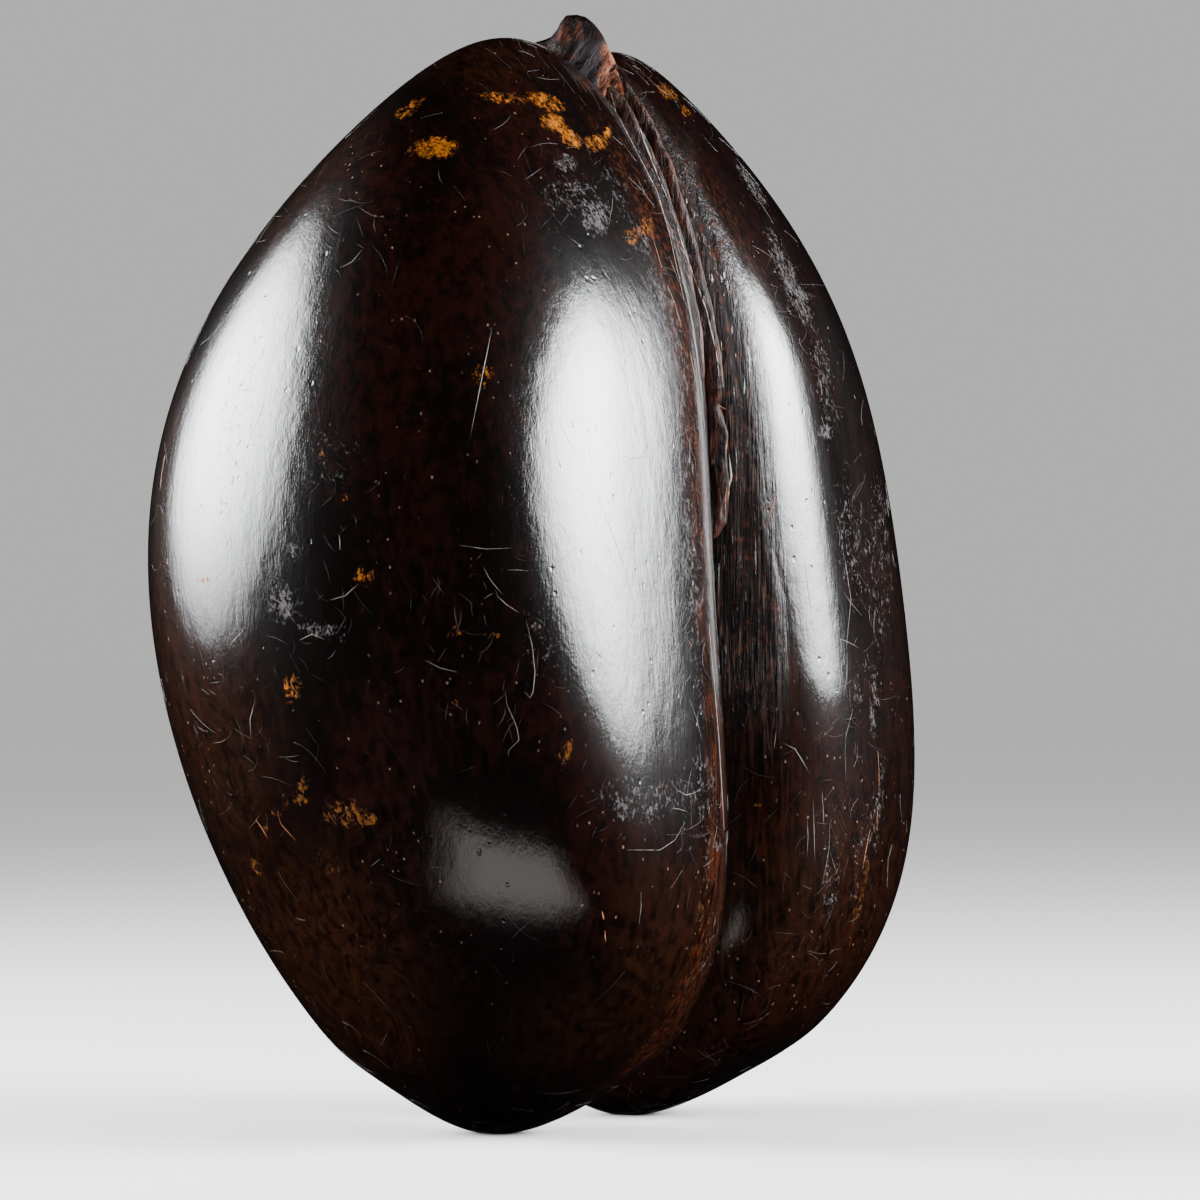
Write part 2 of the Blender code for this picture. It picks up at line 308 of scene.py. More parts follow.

# Scratches, splinters and lines of painted highlight, as lines of places in the photograph.
LINE_STEPS = 4
# Pale scratches, and a few lines of painted highlight.
PALE_SCRATCHES_AND_HIGHLIGHT_STREAKS = (
    ((492, 328), (483, 372), (470, 438)),
    ((505, 690), (507, 705), (513, 718), (517, 728), (519, 740), (509, 750), (508, 757)),
    ((526, 620), (532, 645), (535, 672), (533, 692), (530, 698), (525, 692)),
    ((620, 850), (660, 850), (675, 840), (685, 822)),
    ((597, 492), (607, 520), (622, 560), (634, 605)), ((617, 455), (632, 459), (650, 456)),
    ((629, 461), (636, 490), (642, 530)), ((558, 420), (568, 440), (580, 455)),
    ((340, 268), (352, 262), (362, 250)), ((853, 709), (846, 735), (845, 752), (846, 781)),
    ((845, 560), (851, 600), (846, 650)), ((805, 560), (808, 590), (813, 625)),
    ((842, 590), (852, 604), (862, 616)), ((483, 566), (489, 578), (496, 587), (503, 595)),
    ((496, 595), (507, 605), (518, 612)), ((484, 599), (488, 596), (493, 593)),
    ((507, 570), (518, 570), (529, 571)), ((458, 545), (485, 549), (512, 548)),
    ((200, 345), (212, 336), (222, 322)), ((255, 700), (250, 720), (251, 738)),
    ((300, 640), (312, 634), (326, 640)), ((272, 598), (283, 604), (296, 625)),
    ((671, 781), (677, 790), (686, 795), (694, 793), (702, 788)),
    ((670, 808), (679, 809), (688, 812)), ((847, 652), (847, 672), (845, 691)),
    ((836, 637), (848, 642), (859, 648)), ((830, 820), (829, 849), (826, 866), (822, 884)),
    # The lines from (813, 798), (807, 818) and (822, 790) are painted highlight: the tail of the
    # farther lobe's highlight.
    ((830, 850), (833, 862), (837, 874)), ((813, 798), (814, 830), (815, 862)),
    ((807, 818), (808, 836), (807, 856)), ((822, 790), (823, 808), (824, 830)),
    ((783, 743), (795, 749), (803, 762), (810, 774)), ((776, 731), (775, 740), (774, 750)),
    ((224, 635), (227, 642), (229, 648)), ((229, 648), (233, 641), (238, 636), (246, 627)),
    ((339, 534), (340, 542), (340, 551)), ((641, 892), (641, 908), (639, 924)),
    ((892, 845), (888, 860), (887, 888)), ((690, 700), (697, 720), (702, 741)),
    ((613, 190), (612, 208), (609, 224)), ((640, 345), (655, 352), (668, 348)),
    ((425, 660), (440, 668), (457, 672)), ((330, 600), (345, 596), (358, 584)),
)
# Pale lines of painted highlight and reflection along the far lip's crest and the near lobe's rim,
# partly pale pink fibre on the lip edges.
EDGE_HIGHLIGHT_LINES = (
    ((671, 205), (680, 238), (692, 272), (706, 310), (716, 352), (720, 384)),
    ((638, 122), (644, 142), (656, 172), (668, 200)), ((729, 455), (731, 476), (728, 498)),
    ((709, 625), (714, 680), (719, 740), (722, 790), (724, 830)),
    ((609, 86), (616, 112), (634, 146), (657, 191), (669, 232), (684, 300)),
)
TAN_LINES = (
    ((715, 396), (721, 408), (726, 428), (729, 455)), ((727, 486), (725, 500), (726, 518)),
    ((716, 404), (727, 410)), ((650, 228), (656, 248), (662, 268)),
    ((667, 284), (675, 304), (681, 326)), ((690, 352), (694, 372), (697, 388)),
    ((777, 490), (773, 505), (767, 523)), ((662, 212), (676, 238), (682, 262)),
    ((277, 811), (281, 824), (288, 832), (296, 841)), ((256, 820), (263, 830), (268, 839)),
    ((870, 830), (866, 850), (862, 872)), ((878, 752), (879, 772), (879, 790)),
    ((878, 806), (877, 818), (877, 831)), ((685, 636), (689, 642), (692, 647)),
    ((165, 455), (162, 472), (160, 490)), ((602, 911), (603, 916), (604, 920)),
    ((605, 930), (605, 936), (606, 942)),
)

# Zones of fine scratches: middle, half size, turn of the zone, and how many.
SCRATCH_ZONES = (
    (668, 340, 16, 110, -12, 70), (690, 560, 14, 140, -4, 60), (640, 740, 70, 110, 0, 60),
    (700, 850, 24, 70, 6, 24), (845, 640, 34, 190, 2, 60), (800, 330, 18, 90, -20, 40),
    (290, 560, 70, 130, 0, 60), (480, 640, 90, 90, 0, 40), (240, 760, 50, 90, -15, 30),
    (560, 190, 60, 60, 0, 30), (310, 230, 60, 60, -45, 24), (830, 880, 36, 90, 8, 30),
    (600, 480, 60, 180, 0, 30),
)

# Zones of the shell, in metres from the middle plane, along Y and over the floor.
FRONT_Y = (0.02, 0.05)
UPPER_Z = (0.12, 0.175)
FAR_SIDE_X = (0.0, 0.004)
FLANK_X = (0.01, 0.022)
FLANK_Y = (0.005, 0.03)
FLANK_NEAR_SHARE = 0.5
FAR_RED_X = (0.004, 0.012, 0.022, 0.036)
FAR_RED = 0.6
FAR_RED_LOW = 0.35
WEAR_Z = (0.07, 0.13)

# Where the near lobe turns away from the camera, and zones beside that line.
NEAR_LIMB_X = 0.022
NEAR_LIMB_WIDENING = 0.01
NEAR_LIMB_WIDENING_Z = (0.3, 0.05)
NEAR_LIMB_TOP = 0.008
NEAR_LIMB_TOP_Z = (0.2, 0.29)
RIM_BESIDE = (-0.0035, 0.001)
RIM_BARE = 0.92
RUST_BESIDE = (-0.006, 0.004, 0.014, 0.022)
WEAR_BESIDE = (0.01, 0.02, 0.026, 0.04)

# How far the surface faces the camera, from hidden to seen.
SEEN = (0.05, 0.25)

# Left edge of the farther lobe's highlight in the photograph: down, then across. The
# bare flank ends there, and fades in and out down the photograph.
FAR_HIGHLIGHT = (
    (200, 240, 300, 400, 500, 600, 700),
    (700, 728, 741, 756, 770, 785, 790),
)
FAR_HIGHLIGHT_FADE = (-14.0, 4.0)
FAR_FLANK_DOWN = (90.0, 180.0, 620.0, 800.0)

# Patches by their place in the photograph: middle, half size along and across, and
# turn in degrees, in pixels of the 1200 by 1200 photograph, and how full they are.
OCHRE_PATCHES = (
    (433, 148, 30, 13, -8, 0.8), (502, 98, 28, 7, 8, 0.7), (545, 101, 24, 9, 20, 0.78),
    (554, 123, 18, 10, 20, 0.8), (571, 138, 15, 9, 30, 0.84), (595, 143, 15, 10, 0, 0.78),
    (607, 134, 5, 7, 20, 0.95), (633, 236, 10, 12, -30, 0.74), (647, 226, 9, 12, -10, 0.7),
    (484, 376, 14, 20, 0, 0.62), (568, 750, 9, 18, 20, 0.8), (366, 818, 13, 12, 0, 0.74),
    (342, 812, 24, 18, 0, 0.62), (303, 786, 8, 18, 10, 0.72), (303, 802, 12, 6, 0, 0.74),
    (288, 801, 6, 10, 25, 0.74), (275, 812, 4, 9, -30, 0.78), (262, 826, 4, 9, -35, 0.7),
    (258, 868, 7, 14, -40, 0.7), (330, 862, 26, 16, 30, 0.5), (457, 631, 13, 5, 0, 0.8),
    (498, 638, 16, 5, 8, 0.74), (457, 700, 4, 9, 10, 0.64), (757, 804, 6, 4, 0, 0.84),
    (288, 498, 12, 9, 0, 0.56), (345, 498, 14, 7, -40, 0.6), (322, 454, 12, 9, 0, 0.54),
    (866, 880, 4, 26, 12, 0.66), (701, 908, 5, 12, 20, 0.6), (203, 580, 16, 9, 0, 0.64),
    (366, 576, 16, 13, 0, 0.68), (292, 690, 12, 18, 0, 0.68), (410, 108, 20, 8, -40, 0.7),
    (668, 92, 16, 8, 40, 0.7), (686, 112, 10, 5, 50, 0.66), (858, 900, 8, 60, 12, 0.52),
)
SCUFF_PATCHES = (
    (596, 218, 17, 21, 0, 0.74), (565, 162, 14, 10, 0, 0.72), (572, 195, 38, 26, 0, 0.54),
    (283, 602, 19, 24, 0, 0.72), (293, 550, 13, 12, 0, 0.72), (236, 635, 10, 15, 20, 0.7),
    (325, 462, 50, 45, 0, 0.44), (322, 630, 30, 10, 15, 0.72), (825, 432, 9, 10, 0, 0.8),
    (850, 540, 18, 80, -6, 0.52), (874, 700, 6, 48, 0, 0.62), (857, 690, 6, 34, 0, 0.58),
    (879, 800, 6, 60, 4, 0.58), (752, 182, 9, 38, -32, 0.66), (790, 280, 12, 70, -24, 0.66),
    (824, 380, 12, 70, -10, 0.56), (866, 840, 12, 90, 12, 0.49), (830, 880, 14, 60, 5, 0.52),
    (668, 340, 20, 100, -12, 0.6), (690, 540, 16, 140, -4, 0.54), (700, 790, 26, 46, 0, 0.54),
    (640, 800, 50, 30, 0, 0.58), (548, 640, 36, 56, 0, 0.45), (712, 940, 10, 60, 12, 0.46),
    (718, 846, 5, 7, 0, 0.86), (708, 862, 4, 40, 4, 0.56), (240, 420, 30, 140, 10, 0.5),
    (880, 560, 16, 130, 0, 0.5),
)
# Warm patches are a painted reflection: warm surroundings seen in the polish along the limbs and
# near the bottom.
PAINTED_REFLECTION_PATCHES = (
    (170, 540, 26, 190, 0, 1.0), (215, 740, 60, 130, -15, 0.8), (330, 960, 80, 130, -35, 0.9),
    (600, 1040, 90, 60, 0, 0.7), (885, 560, 34, 220, 0, 0.4), (680, 950, 60, 100, 20, 0.8),
    (840, 920, 70, 120, 10, 0.8), (300, 180, 90, 40, -50, 0.7), (470, 60, 60, 25, 0, 0.6),
)

# Marks: name, patches in the photograph and how soft their edges are. Then the spots
# on the hidden sides: seed, count, smallest and largest radius and how full they are.
MARKS = (
    ("ochre", OCHRE_PATCHES, 0.45, (3, 34, 0.005, 0.012, 0.85)),
    ("scuff", SCUFF_PATCHES, 0.6, (4, 46, 0.006, 0.022, 0.72)),
    # The warm patches and spots paint a reflection of warm surroundings.
    ("painted_warm_reflection", PAINTED_REFLECTION_PATCHES, 0.7, (5, 12, 0.03, 0.06, 0.8)),
)
SPOT_STRETCH = (0.35, 1.6)
SPOT_SHARE = (0.6, 1.0)


def through(levels, t):
    """A smooth curve through values at five even levels, t from 0 to 1."""
    last = len(levels) - 1
    total = 0.0
    for i, value in enumerate(levels):
        weight = 1.0
        for j in range(len(levels)):
            if j != i:
                weight = weight * (t * last - j) / (i - j)
        total = total + value * weight
    return total


def smooth_step(edge_0, edge_1, value):
    """0 below edge_0, 1 above edge_1 and smooth between."""
    s = np.clip((value - edge_0) / (edge_1 - edge_0), 0.0, 1.0)
    return s * s * (3.0 - 2.0 * s)


def between(limits, value):
    """0 outside the first and last of four limits, and 1 between the other two."""
    start, full, fading, end = limits
    return smooth_step(start, full, value) * (1.0 - smooth_step(fading, end, value))


def lobe_points(t, u):
    """Points of the lobe at -X. u is 0 on the inner side and -90 degrees at the front."""
    taper = FOOT_TAPER * (1.0 - smooth_step(0.0, FOOT_TAPER_LEVEL, t))
    rounding = 2.0 * np.sqrt(np.clip(t * (1.0 - t), 0.0, None)) * (1.0 - taper)
    half_width = np.maximum(rounding * through(HALF_WIDTH, t), 1e-6)
    half_depth = np.maximum(rounding * through(HALF_DEPTH, t), 1e-6)
    c = np.cos(u + CORNER_TURN)
    s = np.sin(u + CORNER_TURN)
    inner = (1.0 + c) / 2.0
    inner = inner * inner * (3.0 - 2.0 * inner)
    square = OUTER_SQUARENESS + (INNER_SQUARENESS - OUTER_SQUARENESS) * inner
    reach = (np.abs(c) / half_width) ** square + (np.abs(s) / half_depth) ** square
    radius = reach ** (-1.0 / square)
    x = -through(CENTRE_X, t) + radius * np.cos(u)
    y = through(CENTRE_Y, t) + radius * np.sin(u)
    z = t * LOBE_HEIGHT - FOOT_CUT + 0.0 * u
    return np.stack([x, y, z], axis=-1)


def folds(t, x):
    """Height of the long folds at a distance x from the middle plane."""
    across = 1.0 - smooth_step(0.4 * FOLD_REACH, FOLD_REACH, np.abs(x))
    wander = 0.9 * np.sin(9.0 * t)
    wave = np.sin(2.0 * math.pi * np.abs(x) / FOLD_SPACING + wander)
    return FOLD_HEIGHT * between(FOLD_LEVELS, t) * across * wave


def ridge(x, y, z):
    """Height of the low ridge on the farther lobe."""
    front = smooth_step(0.0, 0.03, -y) * smooth_step(0.004, 0.02, x)
    across = np.exp(-(((x - RIDGE_X) / RIDGE_SPREAD) ** 2))
    return RIDGE_HEIGHT * between(RIDGE_LEVELS, z) * front * across


def bulged(points):
    """Soft unevenness that makes the two lobes differ a little, as in the part."""
    x, y, z = points[..., 0], points[..., 1], points[..., 2]
    fade = smooth_step(0.0, BULGE_FADE, z)
    dx = np.sin(24.0 * z + 11.0 * x + 0.7) * np.cos(17.0 * y + 0.4)
    dy = np.sin(26.0 * z + 21.0 * x + 0.6)
    dz = np.sin(31.0 * x + 1.3) * smooth_step(0.15, 0.3, z)
    return np.stack([
        x + 0.8 * BULGE_HEIGHT * fade * dx + CENTRING[0],
        y + 0.4 * BULGE_HEIGHT * fade * dy - ridge(x, y, z) + CENTRING[1],
        z + 0.6 * BULGE_HEIGHT * fade * dz,
    ], axis=-1)


def rounded_feet(points):
    """Bring the surface in beside the floor, so that each free end looks round."""
    x, y, z = points[..., 0], points[..., 1], points[..., 2]
    height = np.maximum(z, 0.0)
    share = np.sqrt((height + FOOT_CONTACT) / (height + FOOT_CUT))
    share = share + (1.0 - share) * smooth_step(*FOOT_ROUNDING_FADE, height)
    middle_x = np.sign(x) * CENTRE_X[0]
    middle_y = CENTRE_Y[0] + CENTRING[1]
    return np.stack([
        middle_x + (x - middle_x) * share,
        middle_y + (y - middle_y) * share,
        z,
    ], axis=-1)


def column_angles():
    """Angles of the grid's columns, close together beside the suture."""
    close = np.linspace(CLOSE_FROM, CLOSE_TO, CLOSE_COLUMNS, endpoint=False)
    wide = np.linspace(CLOSE_TO, CLOSE_FROM + 2.0 * math.pi, WIDE_COLUMNS + 1)
    return np.concatenate([close, wide])


def build_lobe():
    """The fine lobe at -X with a flat map of its surface."""
    angles = column_angles()
    levels = (1.0 - np.cos(math.pi * np.arange(1, ROWS) / ROWS)) / 2.0
    t, u = np.meshgrid(levels, angles, indexing="ij")
    points = lobe_points(t, u)
    front = np.sin(u) < 0.0
    points[..., 1] -= np.where(front, folds(t, points[..., 0]), 0.0)
    rows, columns = t.shape
    verts = points.reshape(-1, 3).tolist()
    low = len(verts)
    high = low + 1
    verts.append((-CENTRE_X[0], CENTRE_Y[0], -FOOT_CUT))
    verts.append((-CENTRE_X[-1], CENTRE_Y[-1], LOBE_HEIGHT - FOOT_CUT))
    faces = []
    corners = []
    share = (angles - angles[0]) / (angles[-1] - angles[0])
    for i in range(rows - 1):
        for k in range(columns - 1):
            a = i * columns + k
            b = a + columns
            faces.append((a, a + 1, b + 1, b))
            corners += [(share[k], levels[i]), (share[k + 1], levels[i])]
            corners += [(share[k + 1], levels[i + 1]), (share[k], levels[i + 1])]
    for k in range(columns - 1):
        faces.append((low, k + 1, k))
        corners += [(share[k], 0.0), (share[k + 1], levels[0]), (share[k], levels[0])]
        a = (rows - 1) * columns + k
        faces.append((high, a, a + 1))
        corners += [(share[k], 1.0), (share[k], levels[-1]), (share[k + 1], levels[-1])]
    mesh = bpy.data.meshes.new("lobe")
    mesh.from_pydata(verts, [], faces)
    flat = mesh.uv_layers.new(name="OFBake")
    spread = np.array(corners) * FLAT_SIZE + FLAT_MARGIN
    flat.data.foreach_set("uv", spread.ravel())
    return mesh


def cut_plane(bm, point, normal):
    """Cut away the side of a plane that its normal points to."""
    geometry = bm.verts[:] + bm.edges[:] + bm.faces[:]
    cut = bmesh.ops.bisect_plane(
        bm, geom=geometry, dist=WELD, plane_co=point, plane_no=normal, clear_outer=True
    )
    return [item for item in cut["geom_cut"] if isinstance(item, bmesh.types.BMEdge)]


def vertex_values(mesh, name):
    """A vector of each vertex, such as its place or its normal."""
    flat = np.empty(len(mesh.vertices) * 3)
    mesh.vertices.foreach_get(name, flat)
    return flat.reshape(-1, 3)


def place_object(name, data):
    """A new object of the scene."""
    placed = bpy.data.objects.new(name, data)
    bpy.context.scene.collection.objects.link(placed)
    return placed


def build_shell():
    """Both lobes of the shell as one fine mesh."""
    lobe = build_lobe()
    bm = bmesh.new()
    bm.from_mesh(lobe)
    bmesh.ops.remove_doubles(bm, verts=bm.verts[:], dist=0.5 * WELD)
    foot_edges = cut_plane(bm, (0.0, 0.0, 0.0), (0.0, 0.0, -1.0))
    bmesh.ops.contextual_create(bm, geom=foot_edges)
    middle_edges = cut_plane(bm, (0.0, 0.0, 0.0), (1.0, 0.0, 0.0))
    rim = {vert for edge in middle_edges for vert in edge.verts}
    for vert in bm.verts:
        vert.co.x = 0.0 if vert in rim else min(vert.co.x, -CLEAR_OF_MIDDLE)
    geometry = bm.verts[:] + bm.edges[:] + bm.faces[:]
    twin = bmesh.ops.duplicate(bm, geom=geometry)["geom"]
    flat = bm.loops.layers.uv["OFBake"]
    for item in twin:
        if isinstance(item, bmesh.types.BMVert):
            item.co.x = -item.co.x
    faces = [item for item in twin if isinstance(item, bmesh.types.BMFace)]
    for face in faces:
        for loop in face.loops:
            loop[flat].uv.x += 0.5
    bmesh.ops.reverse_faces(bm, faces=faces)
    bmesh.ops.remove_doubles(bm, verts=bm.verts[:], dist=WELD)
    mesh = bpy.data.meshes.new("nut_shell")
    bm.to_mesh(mesh)
    bm.free()
    bpy.data.meshes.remove(lobe)
    points = rounded_feet(bulged(vertex_values(mesh, "co")))
    mesh.vertices.foreach_set("co", points.ravel())
    mesh.shade_smooth()
    return place_object("nut_shell", mesh)


def flank_points(t, x):
    """Points on the front inner flank of the lobe at -X, at a distance x from the middle."""
    low = np.full_like(t, math.radians(-90.0))
    high = np.zeros_like(t)
    for _ in range(40):
        middle = (low + high) / 2.0
        outside = lobe_points(t, middle)[..., 0] < -x
        low = np.where(outside, middle, low)
        high = np.where(outside, high, middle)
    return lobe_points(t, (low + high) / 2.0)


def wrinkle(points, size, seed):
    """Smooth noise from -1 to 1 at each point, with waves of about the given size."""
    shift = Vector((13.1 * seed, 7.7 * seed, 3.3 * seed))
    flat = points.reshape(-1, 3)
    values = [noise.noise(Vector(point) / size + shift) for point in flat]
    return np.array(values).reshape(points.shape[:-1])


def add_waves(rings, waves, seed):
    """Move points sideways by waves of the given heights and sizes."""
    for k, (height, size) in enumerate(waves):
        rings[..., 0] += height * wrinkle(rings, size, seed + k)


def closed_piece(name, points, faces):
    """A smooth closed piece whose faces all look outwards."""
    mesh = bpy.data.meshes.new(name)
    mesh.from_pydata(points, [], faces)
    bm = bmesh.new()
    bm.from_mesh(mesh)
    bmesh.ops.recalc_face_normals(bm, faces=bm.faces[:])
    bm.to_mesh(mesh)
    bm.free()
    mesh.shade_smooth()
    return place_object(name, mesh)


def ring_faces(first, steps, corners):
    """Faces along a row of rings of points, with both ends closed."""
    faces = []
    for i in range(steps - 1):
        a = first + i * corners
        for k in range(corners):
            n = (k + 1) % corners
            faces.append((a + k, a + n, a + corners + n, a + corners + k))
    faces.append(tuple(range(first + corners - 1, first - 1, -1)))
    end = first + (steps - 1) * corners
    faces.append(tuple(range(end, end + corners)))
    return faces


def loft(name, rings):
    """A closed piece through a row of closed rings of points."""
    points = bulged(rings).reshape(-1, 3).tolist()
    return closed_piece(name, points, ring_faces(0, *rings.shape[:2]))


def build_lip(name, stations, side, seed):
    """One wrinkled lip of the suture. side is -1 for the nearer lobe and 1 for the other."""
    table = np.array(sorted(stations))
    levels = np.linspace(table[0, 0], table[-1, 0], LIP_STEPS)
    offset = np.interp(levels, table[:, 0], table[:, 1])
    height = np.interp(levels, table[:, 0], table[:, 2])
    base = flank_points(levels, offset)
    along = np.gradient(base, axis=0)
    outward = np.stack([0.0 * levels, -along[:, 2], along[:, 1]], axis=-1)
    outward *= -np.sign(outward[:, 1:2])
    outward /= np.linalg.norm(outward, axis=-1, keepdims=True)
    base[:, 0] = side * offset
    height = height * (1.0 + LIP_HEIGHT_SWING * wrinkle(base, LIP_HEIGHT_WAVE, seed))
    share = np.linspace(-1.0, 1.0, LIP_CORNERS)
    slope = np.abs(share) ** LIP_SLOPE
    reach = height[:, None] - (height[:, None] + LIP_ROOT_DEPTH) * slope
    root = (LIP_ROOT_HALF_THICKNESS - LIP_HALF_THICKNESS) * np.abs(share)
    crest = LIP_HALF_THICKNESS * np.sqrt(1.0 - (1.0 - np.abs(share)) ** 2)
    rings = base[:, None, :] + outward[:, None, :] * reach[..., None]
    rings[..., 0] += np.sign(share) * (root + crest)
    add_waves(rings, LIP_WAVES, seed + 1)
    return loft(name, rings)


def build_knob():
    """The creased knob between the crowns, as tent-shaped sections along Y."""
    table = np.array(sorted(KNOB))
    places = np.linspace(table[0, 0], table[-1, 0], KNOB_STEPS)
    crest_z = np.interp(places, table[:, 0], table[:, 1])
    root = np.interp(places, table[:, 0], table[:, 2])
    share = np.linspace(-1.0, 1.0, KNOB_CORNERS)
    fall = np.abs(share)[None, :]
    crest = np.minimum(KNOB_CREST_HALF_WIDTH, 0.5 * root)[:, None]
    half = crest * np.sqrt(1.0 - (1.0 - np.minimum(fall / KNOB_CREST_SHARE, 1.0)) ** 2)
    half = half + (root[:, None] - crest) * fall ** KNOB_FLARE
    z = crest_z[:, None] - (crest_z - KNOB_ROOT_Z)[:, None] * fall
    way = places[:, None] + KNOB_CREASE_LEAN * (z - KNOB_ROOT_Z)
    crease = np.sin(2.0 * math.pi * way / KNOB_CREASE_SPACING)
    half = half + KNOB_CREASE_DEPTH * crease * np.sin(math.pi * fall)
    rings = np.stack([np.sign(share) * half, places[:, None] + 0.0 * half, z], axis=-1)
    add_waves(rings, KNOB_WAVES, KNOB_SEED)
    return loft("knob", rings)


def directions(azimuth):
    """Level directions from an azimuth round the nut: towards it and to the right."""
    towards = Vector((-math.sin(azimuth), math.cos(azimuth), 0.0))
    right = Vector((math.cos(azimuth), math.sin(azimuth), 0.0))
    return towards, right


def camera_frame():
    """Where the camera stands, and its forward and right directions."""
    forward, right = directions(CAMERA_AZIMUTH)
    place = right * CAMERA_SIDE - forward * CAMERA_DISTANCE
    place.z = CAMERA_HEIGHT
    return place, forward, right


def add_camera():
    """A level camera, at the photograph's angle."""
    place, forward, right = camera_frame()
    data = bpy.data.cameras.new("photo_camera")
    data.sensor_width = SENSOR_MM
    data.lens = FOCAL_PIXELS / PHOTO_SIZE * SENSOR_MM
    data.clip_end = CAMERA_REACH
    camera = place_object("photo_camera", data)
    axes = Matrix((right, Vector((0.0, 0.0, 1.0)), -forward)).transposed()
    camera.matrix_world = Matrix.Translation(place) @ axes.to_4x4()
    bpy.context.scene.camera = camera


class Value:
    """A value of a node tree. Its sums, products and spans are new nodes of the tree."""

    def __init__(self, tree, socket):
        self.tree = tree
        self.socket = socket

    def reckon(self, operation, first, second):
        return make(self.tree, "ShaderNodeMath", {0: first, 1: second}, 0, operation=operation)

    def __add__(self, other):
        return self.reckon("ADD", self, other)

    def __sub__(self, other):
        return self.reckon("SUBTRACT", self, other)

    def __rsub__(self, other):
        return self.reckon("SUBTRACT", other, self)

    def __mul__(self, other):
        return self.reckon("MULTIPLY", self, other)

    def most(self, other):
        return self.reckon("MAXIMUM", self, other)

    def span(self, low, high):
        """0 below low, 1 above high and smooth between."""
        limits = {"Value": self, "From Min": low, "From Max": high}
        return make(
            self.tree, "ShaderNodeMapRange", limits, "Result", interpolation_type="SMOOTHSTEP"
        )

    def band(self, limits):
        """0 outside the first and last of four limits, and 1 between the other two."""
        start, full, fading, end = limits
        return self.span(start, full) * self.span(end, fading)


def set_inputs(tree, node, values):
    """Link or set inputs of a node."""
    for key, value in values.items():
        socket = node.inputs[key]
        if isinstance(value, Value):
            tree.links.new(value.socket, socket)
        else:
            socket.default_value = (*value, 1.0) if socket.type == "RGBA" else value


def make(tree, kind, values, output, **settings):
    """One output of a new node with the given inputs and settings."""
    node = tree.nodes.new(kind)
    for name, value in settings.items():
        setattr(node, name, value)
    set_inputs(tree, node, values)
    return Value(tree, node.outputs[output])


def vector_math(tree, operation, first, second=(0.0, 0.0, 0.0), output="Vector"):
    values = {0: first, 1: second}
    return make(tree, "ShaderNodeVectorMath", values, output, operation=operation)


def part_of(tree, vector, axis):
    return make(tree, "ShaderNodeSeparateXYZ", {0: vector}, axis)


def soften(data, inner, outer):
    """Let a light fade from the given share of its half size to its edge."""
    data.use_nodes = True
    tree = data.node_tree
    place = make(tree, "ShaderNodeNewGeometry", {}, "Parametric")
    middle = vector_math(tree, "SUBTRACT", place, (0.5, 0.5, 0.0))
    if data.shape == "ELLIPSE":
        share = vector_math(tree, "LENGTH", middle, output="Value")
    else:
        aside = vector_math(tree, "ABSOLUTE", middle)
        share = part_of(tree, aside, "X").most(part_of(tree, aside, "Y"))
    set_inputs(tree, tree.nodes["Emission"], {"Strength": (share * 2.0).span(outer, inner)})


def add_light(name, shape, size, power, colour, fade):
    """An area light that fades towards its edge and that the camera doesn't see."""
    data = bpy.data.lights.new(name, "AREA")
    data.shape = shape
    data.size = size[0]
    data.size_y = size[1]
    data.energy = power
    data.color = colour
    soften(data, *fade)
    light = place_object(name, data)
    light.visible_camera = False
    return light


def add_softbox(name, azimuth, across, heights, power):
    """An upright round softbox that faces the nut, given by its edges.

    Edges across are measured from the point that faces the nut's axis.
    """
    towards, right = directions(math.radians(azimuth))
    size = (across[1] - across[0], heights[1] - heights[0])
    light = add_light(name, "ELLIPSE", size, power, SOFTBOX_COLOUR, SOFTBOX_FADE)
    middle = right * (across[0] + across[1]) / 2.0
    middle.z = (heights[0] + heights[1]) / 2.0
    light.location = middle - towards * SOFTBOX_DISTANCE
    light.rotation_euler = (-towards).to_track_quat("Z", "Y").to_euler()


def add_lights():
    """Softboxes to the left and right, and a low card that shows softly in the polish."""
    for name, values in SOFTBOXES.items():
        add_softbox(name, *values)
    card = add_light("low_card", "RECTANGLE", CARD_SIZE, CARD_POWER, CARD_COLOUR, CARD_FADE)
    card.location = CARD_PLACE
    card.rotation_euler = (math.pi, 0.0, CARD_TURN)


def start_material(name):
    """A new material, its tree and its shader."""
    material = bpy.data.materials.new(name)
    material.use_nodes = True
    return material, material.node_tree, material.node_tree.nodes["Principled BSDF"]


def add_stage():
    """A plain pale floor."""
    mesh = bpy.data.meshes.new("floor")
    size = FLOOR_HALF_SIZE
    corners = [(-size, -size, 0.0), (size, -size, 0.0), (size, size, 0.0), (-size, size, 0.0)]
    mesh.from_pydata(corners, [], [(0, 1, 2, 3)])
    floor = place_object("floor", mesh)
    material, tree, shader = start_material("pale_floor")
    set_inputs(tree, shader, {
        "Base Color": FLOOR_COLOUR,
        "Roughness": FLOOR_ROUGHNESS,
        "Specular IOR Level": FLOOR_GLOSS,
    })
    mesh.materials.append(material)
    floor.visible_glossy = False


